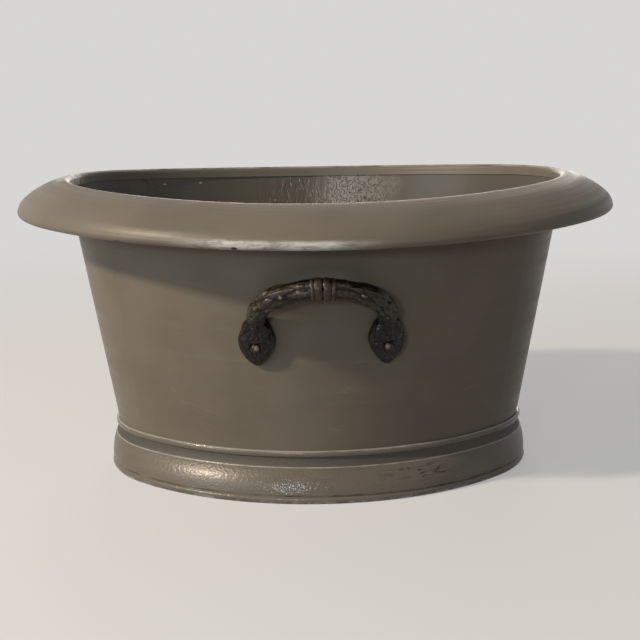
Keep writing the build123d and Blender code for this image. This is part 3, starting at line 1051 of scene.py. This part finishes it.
def domeHeight(across, up):
    # height of the leaf's surface: its dome, or the bud that swells from its top
    dome = handle["leafDome"]
    leaf = handle["leafDepth"] - dome + math.sqrt(dome**2 - across**2 - up**2)
    middle, half = handle["bud"]
    away = ((across / mm - middle[0]) / half[0]) ** 2 + ((up / mm - middle[1]) / half[1]) ** 2
    bud = (middle[2] + half[2] * math.sqrt(1.0 - away)) * mm if away < 1.0 else 0.0
    return max(leaf, bud)


def makeBud():
    # egg-shaped swelling, cut flat at the back so that it stays outside the wall
    bud = makeBall("bud", handle["budSides"])
    bpy.ops.object.mode_set(mode="EDIT")
    pick(bud, lambda point: point.z < handle["budBack"])
    bpy.ops.transform.resize(value=(1.0, 1.0, 0.0), center_override=(0.0, 0.0, handle["budBack"]))
    bpy.ops.object.mode_set(mode="OBJECT")
    middle, half = handle["bud"]
    shape = scaleOf(half[0] * mm, half[1] * mm, half[2] * mm)
    bud.data.transform(Matrix.Translation(Vector(middle) * mm) @ shape)
    return bud


def leafOrnament(petal, bud, side):
    # bud and lobes that follow the leaf's dome, and small beads between them
    base = leafFrame(side)
    sink = handle["lobeSink"]
    pieces = [placedCopy(bud, base)]
    for root, tip, width, height in handle["lobes"]:
        for hand in (-1, 1) if root[0] else (1,):
            start = Vector((hand * root[0] * mm, root[1] * mm, 0.0))
            end = Vector((hand * tip[0] * mm, tip[1] * mm, 0.0))
            start.z = domeHeight(start.x, start.y)
            end.z = domeHeight(end.x, end.y)
            middle = (start + end) / 2
            along = (end - start).normalized()
            rise = middle.z + handle["leafDome"] - handle["leafDepth"]
            out = Vector((middle.x, middle.y, rise)).normalized()
            out = (out - along * out.dot(along)).normalized()
            top = domeHeight(middle.x, middle.y) - middle.z
            place = frameAt(middle + out * (top - sink * mm), along, out)
            size = scaleOf((end - start).length / 2, width * mm, (height + sink) * mm)
            pieces.append(placedCopy(petal, base @ place @ size))
    for across, up, size in handle["beads"]:
        for hand in (-1, 1):
            place = Vector((hand * across * mm, up * mm, domeHeight(across * mm, up * mm)))
            shape = scaleOf(size * mm, size * mm, size * mm)
            pieces.append(placedCopy(petal, base @ Matrix.Translation(place) @ shape))
    return pieces


def addWear(piece, reach, passes):
    # how far each point stands out from the smoothed surface, as a share of this reach
    mesh = piece.data
    count = len(mesh.vertices)
    places = np.empty(3 * count)
    normals = np.empty(3 * count)
    ends = np.empty(2 * len(mesh.edges), dtype=np.int64)
    mesh.vertices.foreach_get("co", places)
    mesh.vertices.foreach_get("normal", normals)
    mesh.edges.foreach_get("vertices", ends)
    places = places.reshape(-1, 3)
    normals = normals.reshape(-1, 3)
    ends = ends.reshape(-1, 2)
    number = np.bincount(ends.ravel(), minlength=count)[:, None]
    smooth = places.copy()
    for _ in range(passes):
        total = np.zeros_like(smooth)
        for axis in range(3):
            total[:, axis] += np.bincount(ends[:, 0], smooth[ends[:, 1], axis], count)
            total[:, axis] += np.bincount(ends[:, 1], smooth[ends[:, 0], axis], count)
        smooth = total / np.maximum(number, 1)
    out = ((places - smooth) * normals).sum(axis=1) / reach
    wear = mesh.attributes.new("wear", "FLOAT", "POINT")
    wear.data.foreach_set("value", out.astype(np.float32))


def carveHandle():
    petal = makePetal()
    bud = makeBud()
    guide = archGuide()
    bundle = bundleOrnament(petal)
    applied(bundle, "CURVE", object=guide, deform_axis="POS_X")
    bundle.data.transform(archFrame())
    leaves = [piece for side in (-1, 1) for piece in leafOrnament(petal, bud, side)]
    core = placedCopy(nodes["handle_front"], Matrix.Identity(4))
    only(core)
    bpy.ops.object.mode_set(mode="EDIT")
    bpy.ops.mesh.select_all(action="SELECT")
    bpy.ops.mesh.remove_doubles(threshold=1e-6)
    bpy.ops.object.mode_set(mode="OBJECT")
    casting = joined([core, bundle] + leaves, "handleCastingFront")
    casting.parent = None
    casting.data.materials.clear()
    applied(casting, "REMESH", mode="VOXEL", voxel_size=handle["grain"], adaptivity=0.0)
    applied(casting, "SMOOTH", factor=0.5, iterations=1)
    pits = bpy.data.textures.new("castPits", "CLOUDS")
    pits.noise_scale = handle["pitSize"]
    pits.noise_depth = handle["pitDetail"]
    rough = {"texture": pits, "texture_coords": "LOCAL", "strength": handle["castRoughness"]}
    applied(casting, "DISPLACE", mid_level=0.5, **rough)
    addWear(casting, handle["wearReach"], handle["wearPasses"])
    only(casting)
    bpy.ops.object.shade_smooth()
    for helper in (petal, bud, guide):
        bpy.data.objects.remove(helper)
    return casting


castingLook = {
    "tone": (0.0035, 0.0028, 0.0022, 1.0),
    "brownTone": (0.046, 0.034, 0.022, 1.0),
    "wornTone": (0.150, 0.124, 0.092, 1.0),
    "cloudScale": 150.0,
    "cloudReach": 2.0,            # how much the clouds shift the wear
    "fineScale": 900.0,
    "brownBand": (-0.3, 0.8),
    "wornBand": (0.6, 1.3),
    "wornGrain": (0.44, 0.60),
    "gloss": (0.16, 0.42),        # roughness where it is waxed, and where it is dry
    "dryBand": (0.35, 0.65),
    "dryShares": (0.3, 1.0),
    "leafTop": (0.124, 0.132),    # below this the leaves keep their black gloss
    "leafWear": 0.16,
    "blobScale": 230.0,
    "blobDepth": 1.6 * mm,        # thick wax on the leaves
    "fineDepth": 0.14 * mm,
    "fineShare": 0.5,
    "ior": 1.32,
}


def castingFinish():
    graph = Graph("darkCasting")
    look = castingLook
    wear = graph.add("ShaderNodeAttribute", attribute_name="wear").outputs["Fac"]
    cloud = graph.noise(graph.place, look["cloudScale"], 4.0, 0.6)
    fine = graph.noise(graph.place, look["fineScale"], 4.0, 0.65)
    shift = graph.maths("SUBTRACT", cloud, 0.5)
    raised = graph.maths("MULTIPLY_ADD", shift, look["cloudReach"], wear)
    grip = graph.ramp(graph.z, *look["leafTop"], look["leafWear"], 1.0)
    brown = graph.product(graph.ramp(raised, *look["brownBand"]), grip)
    tone = graph.mix(brown, look["tone"], look["brownTone"])
    grain = graph.ramp(fine, *look["wornGrain"])
    bare = graph.product(graph.ramp(raised, *look["wornBand"]), grain, grip)
    tone = graph.mix(bare, tone, look["wornTone"])
    dry = graph.product(graph.ramp(cloud, *look["dryBand"], *look["dryShares"]), grip)
    rough = graph.blend(dry, *look["gloss"])
    blobs = graph.noise(graph.place, look["blobScale"], 1.0)
    normal = graph.bump(graph.product(blobs, graph.inverse(grip)), look["blobDepth"])
    normal = graph.bump(graph.product(fine, grip), look["fineDepth"], look["fineShare"], normal)
    return graph.finish(tone, rough, normal, IOR=look["ior"])


rivetLook = {
    "patina": (0.022, 0.016, 0.011, 1.0),
    "wornTone": (0.230, 0.180, 0.125, 1.0),
    "wornReach": (1.9 * mm, 30.0 * mm, 2.3 * mm),
    "wornRagged": (0.7, 800.0),
    "grainScale": 1100.0,
    "grainBand": (0.34, 0.56),
    "grainShares": (0.35, 1.0),
    "gloss": (0.30, 0.42),
    "depth": 0.10 * mm,
    "depthShare": 0.7,
    "ior": 1.33,
}


def rivetFinish(heads):
    # dark patina, worn through in a small patch at the crown of each head
    graph = Graph("darkRivet")
    look = rivetLook
    crowns = [(low + high) / 2 for low, high in (map(Vector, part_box(name)) for name in heads)]
    worn = graph.patches(crowns, look["wornReach"], *look["wornRagged"])
    fine = graph.noise(graph.place, look["grainScale"], 3.0, 0.6)
    grain = graph.ramp(fine, *look["grainBand"], *look["grainShares"])
    worn = graph.product(worn, grain)
    tone = graph.mix(worn, look["patina"], look["wornTone"])
    rough = graph.blend(worn, *look["gloss"])
    normal = graph.bump(fine, look["depth"], look["depthShare"])
    return graph.finish(tone, rough, normal, IOR=look["ior"])


burrLook = {
    "brass": (0.300, 0.200, 0.090, 1.0),
    "tarnish": (0.060, 0.042, 0.024, 1.0),
    "blowScale": 420.0,
    "blowDepth": 0.30 * mm,
    "stainScale": 700.0,
    "stainBand": (0.42, 0.62),
    "gloss": (0.34, 0.55),
    "glossBand": (0.35, 0.65),
    "metal": 0.7,
}


def burrFinish():
    # hammered brass, tarnished in patches
    graph = Graph("tarnishedBurr")
    look = burrLook
    blows = graph.noise(graph.place, look["blowScale"], 2.0)
    stain = graph.noise(graph.place, look["stainScale"], 4.0, 0.65)
    tone = graph.mix(graph.ramp(stain, *look["stainBand"]), look["brass"], look["tarnish"])
    rough = graph.ramp(stain, *look["glossBand"], *look["gloss"])
    return graph.finish(tone, rough, graph.bump(blows, look["blowDepth"]), Metallic=look["metal"])


fixings = [end + "_" + side for end in ("front", "rear") for side in ("left", "right")]
heads = ["rivet_" + place for place in fixings]
dress(rivetFinish(heads), *heads)
dress(burrFinish(), *["burr_" + place for place in fixings])
casting = carveHandle()
casting.data.materials.append(castingFinish())
rearCasting = placedCopy(casting, Matrix.Rotation(math.pi, 4, "Z"))
rearCasting.name = "handleCastingRear"
rearCasting.data.name = "handleCastingRear"
for piece, node in ((casting, "handle_front"), (rearCasting, "handle_rear")):
    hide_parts(node)
    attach(piece, "root")
print("handles carved, faces:", len(casting.data.polygons))
